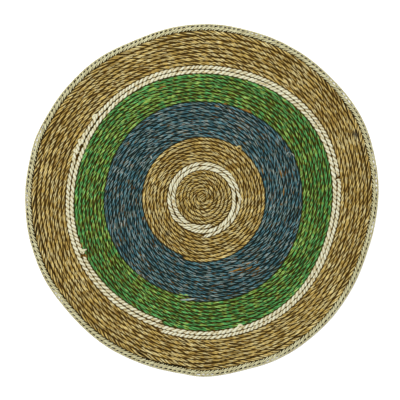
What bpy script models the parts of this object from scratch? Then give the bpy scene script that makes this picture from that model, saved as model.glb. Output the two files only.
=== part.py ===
"""Round placemat wound from one long twisted cord, with a narrow stitched binding round its rim.

The cord starts in the middle and runs outward clockwise, seen from above. Its colour changes six
times, so the mat is a nest of seven spiral rings. Each ring is one flat-bottomed solid whose top
has a rib for every turn of the cord. Units are metres, the mat lies on z = 0.
"""

import math

import bmesh
import bpy

MM = 0.001

COLLECTION = "round_placemat"

# The coil's heart, off the middle of the outline because the mat is wound by hand.
HEART_X = 0.75 * MM
HEART_Y = 3.12 * MM
START_DEG = 72.0

CREST_Z = 4.4 * MM
VALLEY_Z = 2.9 * MM
SEAM_GAP = 0.33 * MM

STEPS_PER_TURN = 60
CENTRE_STEPS_PER_TURN = 30

# The cord's very end is pared down, and the rim that has moved outward with it comes back there.
END_TURNS = 0.05
END_WIDTH = 1.2 * MM
BINDING_WIDTH = 8.6 * MM
BINDING_Z = 3.9 * MM
RIM_GROWTH = 3.0 * MM

# Rings from the middle outward. turns and more_deg: how far the cord goes round, in whole turns
# and degrees past them. row: width of one turn.
RINGS = [
    {"name": "centre_coil", "turns": 7, "more_deg": 144.0, "row": 3.80 * MM, "finish": "natural"},
    {"name": "inner_cream_ring", "turns": 2, "more_deg": 18.0, "row": 4.75 * MM, "finish": "cream"},
    {"name": "inner_natural_ring", "turns": 7, "more_deg": 18.0, "row": 3.80 * MM, "finish": "natural"},
    {"name": "blue_ring", "turns": 9, "more_deg": 348.0, "row": 4.10 * MM, "finish": "blue"},
    {"name": "green_ring", "turns": 8, "more_deg": 12.0, "row": 3.93 * MM, "finish": "green"},
    {"name": "outer_cream_ring", "turns": 2, "more_deg": 0.0, "row": 4.65 * MM, "finish": "cream"},
    {"name": "outer_natural_ring", "turns": 7, "more_deg": 348.0, "row": 4.27 * MM, "finish": "natural"},
]

# How the hand-wound rows leave the circle. lobes: bulges round the mat. size: height of a bulge.
# toward: the bearing of one of them. low, high: the distances from the heart it grows between.
WOBBLES = [
    {"lobes": 1, "size": 1.7 * MM, "toward": 278.0, "low": 0.0, "high": 45.0 * MM},
    {"lobes": 1, "size": 1.9 * MM, "toward": 262.0, "low": 66.0 * MM, "high": 110.0 * MM},
    {"lobes": 1, "size": 1.6 * MM, "toward": 136.0, "low": 140.0 * MM, "high": 190.0 * MM},
    {"lobes": 2, "size": 1.45 * MM, "toward": 26.0, "low": 105.0 * MM, "high": 142.0 * MM},
    {"lobes": 3, "size": 1.0 * MM, "toward": 37.0, "low": 70.0 * MM, "high": 160.0 * MM},
    {"lobes": 4, "size": 1.3 * MM, "toward": 29.0, "low": 60.0 * MM, "high": 140.0 * MM},
    {"lobes": 4, "size": 0.9 * MM, "toward": 74.0, "low": 140.0 * MM, "high": 190.0 * MM},
]

# One corner of the green and outer cream rings stands out more than the rows outside it.
CORNER = {"size": 2.2 * MM, "toward": 316.0, "spread": 22.0, "radius": 125.0 * MM, "reach": 28.0 * MM}

FINISHES = {
    "natural": {"colour": (0.40, 0.26, 0.10, 1.0), "roughness": 0.75},
    "cream": {"colour": (0.74, 0.68, 0.52, 1.0), "roughness": 0.70},
    "blue": {"colour": (0.09, 0.16, 0.21, 1.0), "roughness": 0.75},
    "green": {"colour": (0.11, 0.24, 0.05, 1.0), "roughness": 0.75},
    "binding": {"colour": (0.56, 0.53, 0.36, 1.0), "roughness": 0.80},
}

# The binding's section, from the cord side outward. across: share of the width. up: share of
# the height.
BINDING_SECTION = [
    {"across": 0.00, "up": 0.00},
    {"across": 0.00, "up": 0.72},
    {"across": 0.22, "up": 1.00},
    {"across": 0.62, "up": 0.96},
    {"across": 0.90, "up": 0.78},
    {"across": 1.00, "up": 0.40},
    {"across": 0.95, "up": 0.00},
]


def ring_turns(ring):
    """Turns of cord in one ring, with its part of a turn."""
    return ring["turns"] + ring["more_deg"] / 360.0


def coil_turns():
    """Turns of cord in the whole mat."""
    return sum(ring_turns(ring) for ring in RINGS)


def edge_radius(turn):
    """Distance from the heart to the inner edge of the cord after this many turns."""
    radius = 0.0
    start = 0.0
    for ring in RINGS:
        radius += ring["row"] * min(max(turn - start, 0.0), ring_turns(ring))
        start += ring_turns(ring)
    radius += RINGS[-1]["row"] * max(turn - start, 0.0)
    return radius - taper(turn)


def taper(turn):
    """How much the cord's end is pared down, on its outer edge."""
    start = coil_turns() + 1.0 - END_TURNS
    share = min(max((turn - start) / END_TURNS, 0.0), 1.0)
    return (RINGS[-1]["row"] - END_WIDTH) * share


def bearing(turn):
    """Angle of the cord in radians after this many turns, clockwise from its start."""
    return math.radians(START_DEG) - 2.0 * math.pi * turn


def eased(share):
    """A share held between 0 and 1, easing in and out."""
    held = min(max(share, 0.0), 1.0)
    return held * held * (3.0 - 2.0 * held)


def corner(radius, angle):
    """How far the one corner pushes a point outward."""
    turned = (math.degrees(angle) - CORNER["toward"] + 180.0) % 360.0 - 180.0
    beside = turned / CORNER["spread"]
    beyond = (radius - CORNER["radius"]) / CORNER["reach"]
    return CORNER["size"] * math.exp(-beside * beside - beyond * beyond)


def wobble(radius, angle):
    """Radius of a point once the hand-wound bulges are added."""
    spread = radius + corner(radius, angle)
    for lobe in WOBBLES:
        grown = eased((radius - lobe["low"]) / (lobe["high"] - lobe["low"]))
        swing = math.cos(lobe["lobes"] * (angle - math.radians(lobe["toward"])))
        spread += lobe["size"] * grown * swing
    return spread


def mat_point(radius, angle, height):
    """A point of the mat from its place in an even coil."""
    spread = wobble(radius, angle)
    return (HEART_X + spread * math.cos(angle), HEART_Y + spread * math.sin(angle), height)


def mapped_grid(columns, rows, place):
    """A grid whose point in each column and row is moved to place(column, row), then merged."""
    mesh = bmesh.new()
    bmesh.ops.create_grid(mesh, x_segments=columns, y_segments=rows, size=1.0)
    for vertex in mesh.verts:
        column = round((vertex.co.x + 1.0) * columns / 2.0)
        row = round((vertex.co.y + 1.0) * rows / 2.0)
        vertex.co = place(column, row)
    bmesh.ops.remove_doubles(mesh, verts=mesh.verts, dist=0.001 * MM)
    return mesh


def open_edges(mesh):
    """Edges with a face on one side only."""
    return [edge for edge in mesh.edges if edge.is_boundary]


def close_to_floor(mesh):
    """Drop a wall from the rim of an open top down to z = 0 and lay a flat bottom in it."""
    wall = bmesh.ops.extrude_edge_only(mesh, edges=open_edges(mesh))
    for item in wall["geom"]:
        if isinstance(item, bmesh.types.BMVert):
            item.co.z = 0.0
    bmesh.ops.triangle_fill(mesh, edges=open_edges(mesh), use_beauty=True)
    bmesh.ops.recalc_face_normals(mesh, faces=mesh.faces)


def ring_solid(first_turn, turns, steps):
    """Closed solid of one ring: the cord from first_turn on, a rib a turn, steps to the turn."""
    last_turn = first_turn + turns
    half_gap = SEAM_GAP / 2.0
    half_step = 0.5 / steps
    columns = round(turns * steps)
    heart_ring = first_turn == 0.0

    def end_gap(turn):
        """Angle of half a seam, along the cord, at the two ends of the ring."""
        if math.isclose(turn, last_turn) or math.isclose(turn, last_turn + 1.0):
            return -half_gap / edge_radius(turn)
        if heart_ring:
            return 0.0
        if math.isclose(turn, first_turn) or math.isclose(turn, first_turn + 1.0):
            return half_gap / edge_radius(turn)
        return 0.0

    def valley(turn):
        """Point of the groove on the inner side of the cord after this many turns."""
        radius = edge_radius(turn)
        if heart_ring and turn < 1.0 - half_step:
            return mat_point(0.0, 0.0, VALLEY_Z)
        if not heart_ring and turn < first_turn + 1.0 + half_step:
            radius += half_gap
        if turn > last_turn - half_step:
            radius -= half_gap
        return mat_point(radius, bearing(turn) - end_gap(turn), VALLEY_Z)

    def crest(turn):
        """Point on top of the cord after this many turns."""
        radius = (edge_radius(turn) + edge_radius(turn + 1.0)) / 2.0
        return mat_point(radius, bearing(turn) - end_gap(turn), CREST_Z)

    def place(column, row):
        """Inner groove, crest and outer groove of the cord are rows 0, 1 and 2."""
        turn = first_turn + turns * column / columns
        if row == 1:
            return crest(turn)
        return valley(turn + row / 2.0)

    mesh = mapped_grid(columns, 2, place)
    bmesh.ops.holes_fill(mesh, edges=open_edges(mesh), sides=3)
    close_to_floor(mesh)
    return mesh


def rim_radius(share):
    """Distance from the heart to the outer rim, a share of a turn past the cord's end."""
    radius = edge_radius(coil_turns()) + BINDING_WIDTH
    if share < 1.0 - END_TURNS:
        return radius + RIM_GROWTH * share / (1.0 - END_TURNS)
    return radius + RIM_GROWTH * (1.0 - share) / END_TURNS


def binding_solid():
    """Closed ring of the binding: its inner side follows the last turn of cord.

    The first and last sections stand half a seam and a whole seam past the cord's end, so the
    inner side steps round that end.
    """
    half_gap = SEAM_GAP / 2.0
    points = len(BINDING_SECTION)

    def place(column, row):
        step = column % (STEPS_PER_TURN + 1)
        turns_on = step / STEPS_PER_TURN
        inner = edge_radius(coil_turns() + turns_on) + half_gap
        past_end = {0: SEAM_GAP, STEPS_PER_TURN: half_gap}.get(step, 0.0)
        corner = BINDING_SECTION[row % points]
        radius = inner + (rim_radius(turns_on) - inner) * corner["across"]
        angle = bearing(coil_turns() + turns_on) - past_end / inner
        return mat_point(radius, angle, BINDING_Z * corner["up"])

    mesh = mapped_grid(STEPS_PER_TURN + 1, points, place)
    bmesh.ops.recalc_face_normals(mesh, faces=mesh.faces)
    return mesh


def material(name):
    """Plain material of one finish."""
    finish = FINISHES[name]
    made = bpy.data.materials.new(name)
    made.use_nodes = True
    shader = made.node_tree.nodes["Principled BSDF"]
    shader.inputs["Base Color"].default_value = finish["colour"]
    shader.inputs["Roughness"].default_value = finish["roughness"]
    shader.inputs["Metallic"].default_value = 0.0
    return made


def add_part(name, solid, finish, collection):
    """Turn a finished bmesh into a named object of the mat."""
    mesh = bpy.data.meshes.new(name)
    solid.to_mesh(mesh)
    solid.free()
    mesh.materials.append(material(finish))
    part = bpy.data.objects.new(name, mesh)
    collection.objects.link(part)
    return part


def clear_scene():
    """Remove every object, so that the script can be run again."""
    for item in list(bpy.data.objects):
        bpy.data.objects.remove(item, do_unlink=True)


def build():
    """Make the seven rings of cord and the binding."""
    clear_scene()
    collection = bpy.data.collections.new(COLLECTION)
    bpy.context.scene.collection.children.link(collection)
    turn = 0.0
    for ring in RINGS:
        steps = CENTRE_STEPS_PER_TURN if turn == 0.0 else STEPS_PER_TURN
        solid = ring_solid(turn, ring_turns(ring), steps)
        add_part(ring["name"], solid, ring["finish"], collection)
        turn += ring_turns(ring)
    add_part("edge_binding", binding_solid(), "binding", collection)


build()
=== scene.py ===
"""Looks of a round placemat wound from one long cord of twisted plant fibre.

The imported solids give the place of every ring. Here each ring becomes real cord: two to four
plies twisted round each other along the same clockwise spiral, dyed or bleached as in the
photograph. The rim gets its pale stitched binding. Sizes are metres.
"""

from __future__ import annotations

import logging
import math
from dataclasses import dataclass
from enum import Enum

import bpy
import numpy as np
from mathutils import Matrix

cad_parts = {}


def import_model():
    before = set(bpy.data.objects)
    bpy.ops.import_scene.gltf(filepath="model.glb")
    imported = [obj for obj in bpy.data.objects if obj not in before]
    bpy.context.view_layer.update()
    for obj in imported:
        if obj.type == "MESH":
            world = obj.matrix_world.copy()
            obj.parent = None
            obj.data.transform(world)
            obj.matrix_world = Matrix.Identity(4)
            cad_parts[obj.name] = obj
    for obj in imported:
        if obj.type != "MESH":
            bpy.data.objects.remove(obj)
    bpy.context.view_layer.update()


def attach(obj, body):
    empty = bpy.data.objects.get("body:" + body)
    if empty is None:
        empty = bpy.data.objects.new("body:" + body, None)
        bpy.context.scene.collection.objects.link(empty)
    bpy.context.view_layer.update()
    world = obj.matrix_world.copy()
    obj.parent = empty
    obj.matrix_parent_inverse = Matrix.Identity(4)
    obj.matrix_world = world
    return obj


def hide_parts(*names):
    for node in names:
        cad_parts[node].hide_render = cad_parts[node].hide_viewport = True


LOG = logging.getLogger("round_placemat")

MM = 0.001
TAU = 2.0 * math.pi

# The photograph's frame: 400 pixels wide, with the mat's mean diameter of 352.2 px at 380 mm.
PHOTO_PIXELS = 400
METRES_PER_PIXEL = 0.380 / 352.2

# The floor's height, and the least clearance of any fibre over it.
FLOOR_Z = 0.0
CLEARANCE = 0.03 * MM

BODY = "root"

Colour = tuple[float, float, float]
Tones = tuple[tuple[float, Colour], ...]
Socket = bpy.types.NodeSocket


class Twist(Enum):
    """Which way a ply climbs outward as the bearing grows."""

    OUTWARD = 1.0
    INWARD = -1.0


def eased(share: np.ndarray) -> np.ndarray:
    """Shares held between 0 and 1, easing in and out."""
    held = np.clip(share, 0.0, 1.0)
    return held * held * (3.0 - 2.0 * held)


def degrees_from(angle: np.ndarray, bearing_deg: float) -> np.ndarray:
    """How many degrees bearings in radians lie past another bearing, from -180 to 180."""
    return np.mod(np.degrees(angle) - bearing_deg + 180.0, 360.0) - 180.0


@dataclass(frozen=True)
class Lobe:
    """Regular bulges of the hand-wound rows out of the circle.

    lobes is how many there are round the mat, size how high they are and toward the bearing of
    one of them in degrees. They grow between the distances low and high from the heart.
    """

    lobes: int
    size: float
    toward: float
    low: float
    high: float

    def push(self, radius: np.ndarray, angle: np.ndarray) -> np.ndarray:
        """How far points at these radii and bearings move outward."""
        grown = eased((radius - self.low) / (self.high - self.low))
        return self.size * grown * np.cos(self.lobes * (angle - math.radians(self.toward)))


@dataclass(frozen=True)
class Corner:
    """A place where the rows stand out, or lie further in where size is negative.

    toward is its bearing and spread its reach to both sides in degrees, radius its distance from
    the heart and reach how far in and out from there it fades.
    """

    size: float
    toward: float
    spread: float
    radius: float = 190.0 * MM
    reach: float = 30.0 * MM

    def push(self, radius: np.ndarray, angle: np.ndarray) -> np.ndarray:
        """How far points at these radii and bearings move outward."""
        beside = degrees_from(angle, self.toward) / self.spread
        beyond = (radius - self.radius) / self.reach
        return self.size * np.exp(-beside * beside - beyond * beyond)


@dataclass(frozen=True)
class Ring:
    """One colour of the winding: how far its cord goes round, and how wide one turn of it is."""

    name: str
    turns: int
    more_deg: float
    row: float

    @property
    def length_in_turns(self) -> float:
        """Whole turns and the part of a turn together."""
        return self.turns + self.more_deg / 360.0


RINGS = (
    Ring("centre_coil", 7, 144.0, 3.80 * MM),
    Ring("inner_cream_ring", 2, 18.0, 4.75 * MM),
    Ring("inner_natural_ring", 7, 18.0, 3.80 * MM),
    Ring("blue_ring", 9, 348.0, 4.10 * MM),
    Ring("green_ring", 8, 12.0, 3.93 * MM),
    Ring("outer_cream_ring", 2, 0.0, 4.65 * MM),
    Ring("outer_natural_ring", 7, 348.0, 4.27 * MM),
)

# The solids have the seven lobes and the first corner. The small corners are only here.
BULGES = (
    Lobe(1, 1.7 * MM, 278.0, 0.0, 45.0 * MM),
    Lobe(1, 1.9 * MM, 262.0, 66.0 * MM, 110.0 * MM),
    Lobe(1, 1.6 * MM, 136.0, 140.0 * MM, 190.0 * MM),
    Lobe(2, 1.45 * MM, 26.0, 105.0 * MM, 142.0 * MM),
    Lobe(3, 1.0 * MM, 37.0, 70.0 * MM, 160.0 * MM),
    Lobe(4, 1.3 * MM, 29.0, 60.0 * MM, 140.0 * MM),
    Lobe(4, 0.9 * MM, 74.0, 140.0 * MM, 190.0 * MM),
    Corner(2.2 * MM, 316.0, 22.0, 125.0 * MM, 28.0 * MM),
    Corner(-2.1 * MM, 342.0, 15.0),
    Corner(-1.9 * MM, 114.0, 8.0),
    Corner(1.3 * MM, 88.0, 11.0),
    Corner(-1.9 * MM, 284.0, 6.5),
    Corner(1.6 * MM, 269.0, 7.0),
    Corner(-1.4 * MM, 221.0, 9.0),
    Corner(-0.9 * MM, 45.0, 11.0),
    Corner(0.9 * MM, 26.0, 7.0),
    Corner(0.9 * MM, 161.0, 6.0),
)


@dataclass(frozen=True)
class Coil:
    """The spiral that all rings and the binding follow: the solids', with more small bulges.

    The heart is its middle, and start_deg the bearing at which the cord starts. Over the last
    end_turns the cord narrows to end_width. binding_width is that of the pale edge, and
    rim_growth how far the rim moves outward over one turn, with the spiral. hook is how far
    the cord's start bends into the heart, fading over hook_turns. The row of the last ring is
    carried on for run_on_turns past the cord's end.
    """

    heart_x: float = 0.75 * MM
    heart_y: float = 3.12 * MM
    start_deg: float = 72.0
    end_turns: float = 0.05
    end_width: float = 1.2 * MM
    binding_width: float = 8.6 * MM
    rim_growth: float = 3.0 * MM
    hook: float = 1.5 * MM
    hook_turns: float = 0.22
    run_on_turns: float = 2.0

    @property
    def turns(self) -> float:
        """Turns of cord in the whole mat."""
        return sum(ring.length_in_turns for ring in RINGS)

    def start_of(self, name: str) -> float:
        """Turns wound before the ring of that name begins."""
        before = 0.0
        for ring in RINGS:
            if ring.name == name:
                return before
            before += ring.length_in_turns
        raise KeyError(name)

    def edge(self, turn: np.ndarray) -> np.ndarray:
        """Distance from the heart to the cord's inner edge.

        Args:
            turn: how many turns have been wound.

        Returns:
            The radius in the even coil, before the hand-wound bulges.
        """
        stops, radii = [0.0], [0.0]
        for ring in RINGS:
            stops.append(stops[-1] + ring.length_in_turns)
            radii.append(radii[-1] + ring.row * ring.length_in_turns)
        stops.append(stops[-1] + self.run_on_turns)
        radii.append(radii[-1] + self.run_on_turns * RINGS[-1].row)
        last = self.turns + 1.0
        share = np.clip((turn - last + self.end_turns) / self.end_turns, 0.0, 1.0)
        return np.interp(turn, stops, radii) - (RINGS[-1].row - self.end_width) * share

    def middle(self, turn: np.ndarray) -> np.ndarray:
        """Radius of the cord's own centre line; the first bend hooks into the heart."""
        hook = self.hook * np.exp(-np.maximum(turn, 0.0) / self.hook_turns)
        return (self.edge(turn) + self.edge(turn + 1.0)) / 2.0 - hook

    def width(self, turn: np.ndarray) -> np.ndarray:
        """Room for the cord between its inner and outer neighbour."""
        return self.edge(turn + 1.0) - self.edge(turn)

    def bearing(self, turn: np.ndarray) -> np.ndarray:
        """Angle in radians; the cord runs clockwise."""
        return math.radians(self.start_deg) - TAU * turn

    def rim(self, angle: np.ndarray) -> np.ndarray:
        """Radius of the binding's outer rim in the even coil, at a bearing in radians.

        Args:
            angle: bearings in radians.

        Returns:
            The rim's distance from the heart at each bearing.
        """
        end = math.radians(self.start_deg) - TAU * self.turns
        share = np.mod((end - angle) / TAU, 1.0)
        growing = share / (1.0 - self.end_turns)
        coming_back = (1.0 - share) / self.end_turns
        base = self.edge(np.array(self.turns)) + self.binding_width
        return base + self.rim_growth * np.minimum(growing, coming_back)

    def at(self, radius: np.ndarray, angle: np.ndarray, height: np.ndarray) -> np.ndarray:
        """Points at true distances from the heart and bearings in radians."""
        x = self.heart_x + radius * np.cos(angle)
        y = self.heart_y + radius * np.sin(angle)
        return np.stack([x, y, np.broadcast_to(height, x.shape)], axis=-1)

    def spot(self, bearing_deg: np.ndarray, radius: np.ndarray, height: np.ndarray) -> np.ndarray:
        """Points at true bearings in degrees and true distances from the heart."""
        return self.at(radius, np.radians(bearing_deg), height)

    def place(self, radius: np.ndarray, angle: np.ndarray, height: np.ndarray) -> np.ndarray:
        """Points of the mat.

        Args:
            radius: distances from the heart in the even coil.
            angle: bearings in radians.
            height: heights over the floor.

        Returns:
            An array with a row of x, y and z for each point.
        """
        even = np.asarray(radius, float)
        return self.at(even + sum(bulge.push(even, angle) for bulge in BULGES), angle, height)


COIL = Coil()


def drift(count: int, knot_every: float, rng: np.random.Generator) -> np.ndarray:
    """A soft random walk about zero, between about -1 and 1.

    Args:
        count: number of values.
        knot_every: how many values lie between two random knots.
        rng: the seeded source of the knots.

    Returns:
        One value for each step, eased from knot to knot.
    """
    knots = rng.uniform(-1.0, 1.0, int(count / knot_every) + 3)
    at = np.arange(count) / knot_every
    low = at.astype(int)
    ease = eased(at - low)
    return knots[low] * (1.0 - ease) + knots[low + 1] * ease


def smooth_path(rows: np.ndarray, count: int) -> np.ndarray:
    """Evenly many points on a smooth curve through the given ones.

    Args:
        rows: the points to pass through.
        count: how many points to return.

    Returns:
        Points of a Catmull-Rom curve.
    """
    padded = np.concatenate([[2 * rows[0] - rows[1]], rows, [2 * rows[-1] - rows[-2]]])
    # It ends a hair before the last point, which has no stretch of its own after it.
    at = np.linspace(0.0, len(rows) - 1.0001, count)
    low = at.astype(int)
    t = (at - low)[:, None]
    a, b, c, d = (padded[low + shift] for shift in range(4))
    return 0.5 * (2 * b + (c - a) * t + (2 * a - 5 * b + 4 * c - d) * t**2 + (3 * b - a - 3 * c + d) * t**3)


def deselect_all() -> None:
    """Leave nothing selected, so that the next operator acts on its own object only."""
    bpy.ops.object.select_all(action="DESELECT")


def make_active(piece: bpy.types.Object) -> None:
    """Select this object alone."""
    deselect_all()
    piece.select_set(True)
    bpy.context.view_layer.objects.active = piece


@dataclass(frozen=True)
class Section:
    """Cross-section of a ply or yarn: half its width, half its thickness, and its corners."""

    half_width: float
    half_thickness: float
    corners: int

    def make(self) -> bpy.types.Object:
        """The closed outline that a strand's curve sweeps along itself."""
        bpy.ops.curve.primitive_bezier_circle_add(radius=1.0)
        outline = bpy.context.object
        outline.data.splines.clear()
        outline.data.dimensions = "2D"
        spline = outline.data.splines.new("POLY")
        spline.points.add(self.corners - 1)
        for number, point in enumerate(spline.points):
            angle = TAU * number / self.corners
            x = self.half_width * math.cos(angle)
            y = self.half_thickness * math.sin(angle)
            point.co = (x, y, 0.0, 1.0)
        spline.use_cyclic_u = True
        return outline


@dataclass
class Strand:
    """One strand's path, with a thickness factor and a roll in radians at each point."""

    points: np.ndarray
    thickness: np.ndarray
    roll: np.ndarray

    @property
    def length(self) -> float:
        """Length along the path."""
        return float(np.linalg.norm(np.diff(self.points, axis=0), axis=1).sum())


def unrolled(rows: np.ndarray) -> Strand:
    """A strand without roll from rows of x, y, z and thickness."""
    return Strand(rows[:, :3], rows[:, 3], np.zeros(len(rows)))


# How much further along the fibre's pattern each strand of a sweep starts, so that none repeats.
PATTERN_SHIFT = 0.137


def sweep(name: str, strands: list[Strand], section: Section, closed: bool = False) -> bpy.types.Object:
    """Sweep a section along strands and make one mesh of them.

    Args:
        name: the new object's name.
        strands: the paths, all with the same number of points if they are many.
        section: the cross-section.
        closed: whether each strand runs back into its own start.

    Returns:
        A mesh object whose UV map holds metres along the strand and the share of its girth.
    """
    outline = section.make()
    curve = bpy.data.curves.new(name, "CURVE")
    curve.dimensions = "3D"
    curve.twist_mode = "Z_UP"
    curve.bevel_mode = "OBJECT"
    curve.bevel_object = outline
    for strand in strands:
        spline = curve.splines.new("POLY")
        spline.points.add(len(strand.points) - 1)
        rows = np.concatenate([strand.points, np.ones((len(strand.points), 1))], axis=1)
        spline.points.foreach_set("co", rows.astype(np.float32).ravel())
        spline.points.foreach_set("radius", strand.thickness.astype(np.float32))
        spline.points.foreach_set("tilt", strand.roll.astype(np.float32))
        spline.use_cyclic_u = closed
    piece = bpy.data.objects.new(name, curve)
    bpy.context.scene.collection.objects.link(piece)
    make_active(piece)
    bpy.ops.object.convert(target="MESH")
    piece = bpy.context.object
    bpy.data.objects.remove(outline, do_unlink=True)
    stretch_uv(piece, [strand.length for strand in strands])
    if not closed:
        close_ends(piece)
    bpy.ops.object.shade_smooth()
    return piece


def stretch_uv(piece: bpy.types.Object, lengths: list[float]) -> None:
    """Turn the UV map's share along each strand into metres, and set every strand apart in U.

    Args:
        piece: the swept mesh.
        lengths: each strand's length, in the order of sweeping.
    """
    layer = piece.data.uv_layers[0]
    values = np.zeros(len(layer.data) * 2, np.float32)
    layer.data.foreach_get("uv", values)
    values = values.reshape(len(lengths), -1, 2)
    for number, length in enumerate(lengths):
        values[number, :, 0] = values[number, :, 0] * length + PATTERN_SHIFT * number
    layer.data.foreach_set("uv", values.ravel())


def close_ends(piece: bpy.types.Object) -> None:
    """Cap the open ends of a swept mesh."""
    make_active(piece)
    bpy.ops.object.mode_set(mode="EDIT")
    bpy.ops.mesh.select_all(action="SELECT")
    bpy.ops.mesh.fill_holes(sides=0)
    bpy.ops.object.mode_set(mode="OBJECT")


def join(pieces: list[bpy.types.Object], name: str) -> bpy.types.Object:
    """Join meshes into one object of that name.

    Args:
        pieces: the meshes, which become one.
        name: the name of the joined object and its mesh.

    Returns:
        The joined object.
    """
    deselect_all()
    for piece in pieces:
        piece.select_set(True)
    bpy.context.view_layer.objects.active = pieces[0]
    if len(pieces) > 1:
        bpy.ops.object.join()
    joined = bpy.context.object
    joined.name = name
    joined.data.name = name
    return joined


def points_of(piece: bpy.types.Object) -> np.ndarray:
    """The mesh's points, a row of x, y and z for each."""
    values = np.zeros(len(piece.data.vertices) * 3, np.float32)
    piece.data.vertices.foreach_get("co", values)
    return values.reshape(-1, 3)


def move_points(piece: bpy.types.Object, points: np.ndarray) -> None:
    """Put the mesh's points at these places."""
    piece.data.vertices.foreach_set("co", points.astype(np.float32).ravel())
    piece.data.update()


def lift_off_floor(piece: bpy.types.Object) -> None:
    """Press what would sink into the floor flat onto it."""
    points = points_of(piece)
    points[:, 2] = np.maximum(points[:, 2], FLOOR_Z + CLEARANCE)
    move_points(piece, points)


def dress(piece: bpy.types.Object, material: bpy.types.Material) -> bpy.types.Object:
    """Give a piece its material and its body, and report it.

    Args:
        piece: the finished mesh.
        material: its finish.

    Returns:
        The same piece.
    """
    piece.data.materials.clear()
    piece.data.materials.append(material)
    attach(piece, BODY)
    LOG.info("%s: %d vertices", piece.name, len(piece.data.vertices))
    return piece


class NodeSheet:
    """Small helper that adds and links shader nodes in one tree."""

    def __init__(self, tree: bpy.types.NodeTree) -> None:
        """Work on this tree."""
        self.tree = tree

    def add(self, kind: str, **settings: object) -> bpy.types.Node:
        """Add a node and set its properties.

        Args:
            kind: the node's type.
            settings: its properties.

        Returns:
            The new node.
        """
        node = self.tree.nodes.new(kind)
        for key, value in settings.items():
            setattr(node, key, value)
        return node

    def link(self, start: Socket, end: Socket) -> None:
        """Join an output to an input."""
        self.tree.links.new(start, end)

    def math(self, operation: str, *values: object) -> Socket:
        """A Math node's output from sockets or numbers.

        Args:
            operation: what the node does.
            values: a socket or a number for each input.

        Returns:
            The node's output.
        """
        node = self.add("ShaderNodeMath", operation=operation)
        for socket, value in zip(node.inputs, values):
            self.put(socket, value)
        return node.outputs[0]

    def parts(self, vector: Socket) -> list[Socket]:
        """The three parts of a vector."""
        node = self.add("ShaderNodeSeparateXYZ")
        self.link(vector, node.inputs[0])
        return list(node.outputs)

    def put(self, socket: Socket, value: object) -> None:
        """Link a socket to a socket, or set its plain value."""
        if isinstance(value, Socket):
            self.link(value, socket)
        else:
            socket.default_value = value

    def noise(self, vector: Socket, scale: float, detail: float) -> Socket:
        """A noise texture's value.

        Args:
            vector: where the noise is read.
            scale: how dense it is.
            detail: how fine it gets.

        Returns:
            The noise, from about 0 to 1.
        """
        node = self.add("ShaderNodeTexNoise")
        node.inputs["Scale"].default_value = scale
        node.inputs["Detail"].default_value = detail
        self.link(vector, node.inputs["Vector"])
        return node.outputs["Fac"]

    def girdle(
        self,
        around: Socket,
        along: Socket,
        radius: float,
        rate: float,
        shift: float = 0.0,
    ) -> Socket:
        """A vector that runs once round a circle for the girth and forward along the strand.

        Args:
            around: the angle round the strand in radians.
            along: the metres along it.
            radius: the circle's radius.
            rate: the way forward for each metre.
            shift: how much further forward the vector starts.

        Returns:
            The vector.
        """
        node = self.add("ShaderNodeCombineXYZ")
        self.put(node.inputs[0], self.math("MULTIPLY", self.math("COSINE", around), radius))
        self.put(node.inputs[1], self.math("MULTIPLY", self.math("SINE", around), radius))
        self.put(node.inputs[2], self.math("MULTIPLY_ADD", along, rate, shift))
        return node.outputs[0]

    def line(self, along: Socket, length: object, shift: float) -> Socket:
        """A vector that only runs along the strand, one unit for each length.

        Args:
            along: the metres along the strand.
            length: the metres for one unit.
            shift: what sets one such line apart from another.

        Returns:
            The vector.
        """
        node = self.add("ShaderNodeCombineXYZ")
        self.put(node.inputs[0], self.math("DIVIDE", along, length))
        node.inputs[1].default_value = shift
        return node.outputs[0]

    def spread(
        self,
        value: object,
        low: float,
        high: float,
        to_low: float = 0.0,
        to_high: float = 1.0,
    ) -> Socket:
        """Map a range of values onto another, clamped and eased.

        Args:
            value: what is mapped.
            low: the value that becomes to_low.
            high: the value that becomes to_high.
            to_low: the new range's start.
            to_high: the new range's end.

        Returns:
            The mapped value.
        """
        node = self.add("ShaderNodeMapRange", interpolation_type="SMOOTHSTEP")
        self.put(node.inputs["Value"], value)
        for key, number in (("From Min", low), ("From Max", high), ("To Min", to_low), ("To Max", to_high)):
            node.inputs[key].default_value = number
        return node.outputs["Result"]

    def mix(self, share: object, first: object, second: object, blend: str = "MIX") -> Socket:
        """Mix two colours.

        Args:
            share: how much of the second is in the mix.
            first: a socket or a colour.
            second: a socket or a colour.
            blend: how they are mixed.

        Returns:
            The mixed colour.
        """
        node = self.add("ShaderNodeMix", data_type="RGBA", blend_type=blend)
        self.put(node.inputs["Factor"], share)
        self.put(node.inputs[6], first if isinstance(first, Socket) else (*first, 1.0))
        self.put(node.inputs[7], second if isinstance(second, Socket) else (*second, 1.0))
        return node.outputs[2]

    def ramp(
        self,
        value: Socket,
        stops: Tones,
        between: str = "LINEAR",
    ) -> Socket:
        """Colours along a value from 0 to 1.

        Args:
            value: what picks the colour.
            stops: the values and their colours.
            between: how one colour turns into the next.

        Returns:
            The colour.
        """
        node = self.add("ShaderNodeValToRGB")
        node.color_ramp.interpolation = between
        elements = node.color_ramp.elements
        while len(elements) < len(stops):
            elements.new(0.5)
        for element, (position, colour) in zip(elements, stops):
            element.position = position
            element.color = (*colour, 1.0)
        self.link(value, node.inputs["Fac"])
        return node.outputs["Color"]


@dataclass(frozen=True)
class Grain:
    """A noise that runs along a strand and closes round it.

    girth is the radius of the circle that stands for the strand's girth in the noise, along how
    many units of noise there are to a metre, and shift sets one grain apart from another.
    """

    girth: float
    along: float
    detail: float
    shift: float = 0.0

    def value(self, sheet: NodeSheet, around: Socket, along: Socket) -> Socket:
        """The noise at each point, from its angle round the strand and its metres along it."""
        vector = sheet.girdle(around, along, self.girth, self.along, self.shift)
        return sheet.noise(vector, 1.0, self.detail)


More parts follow.
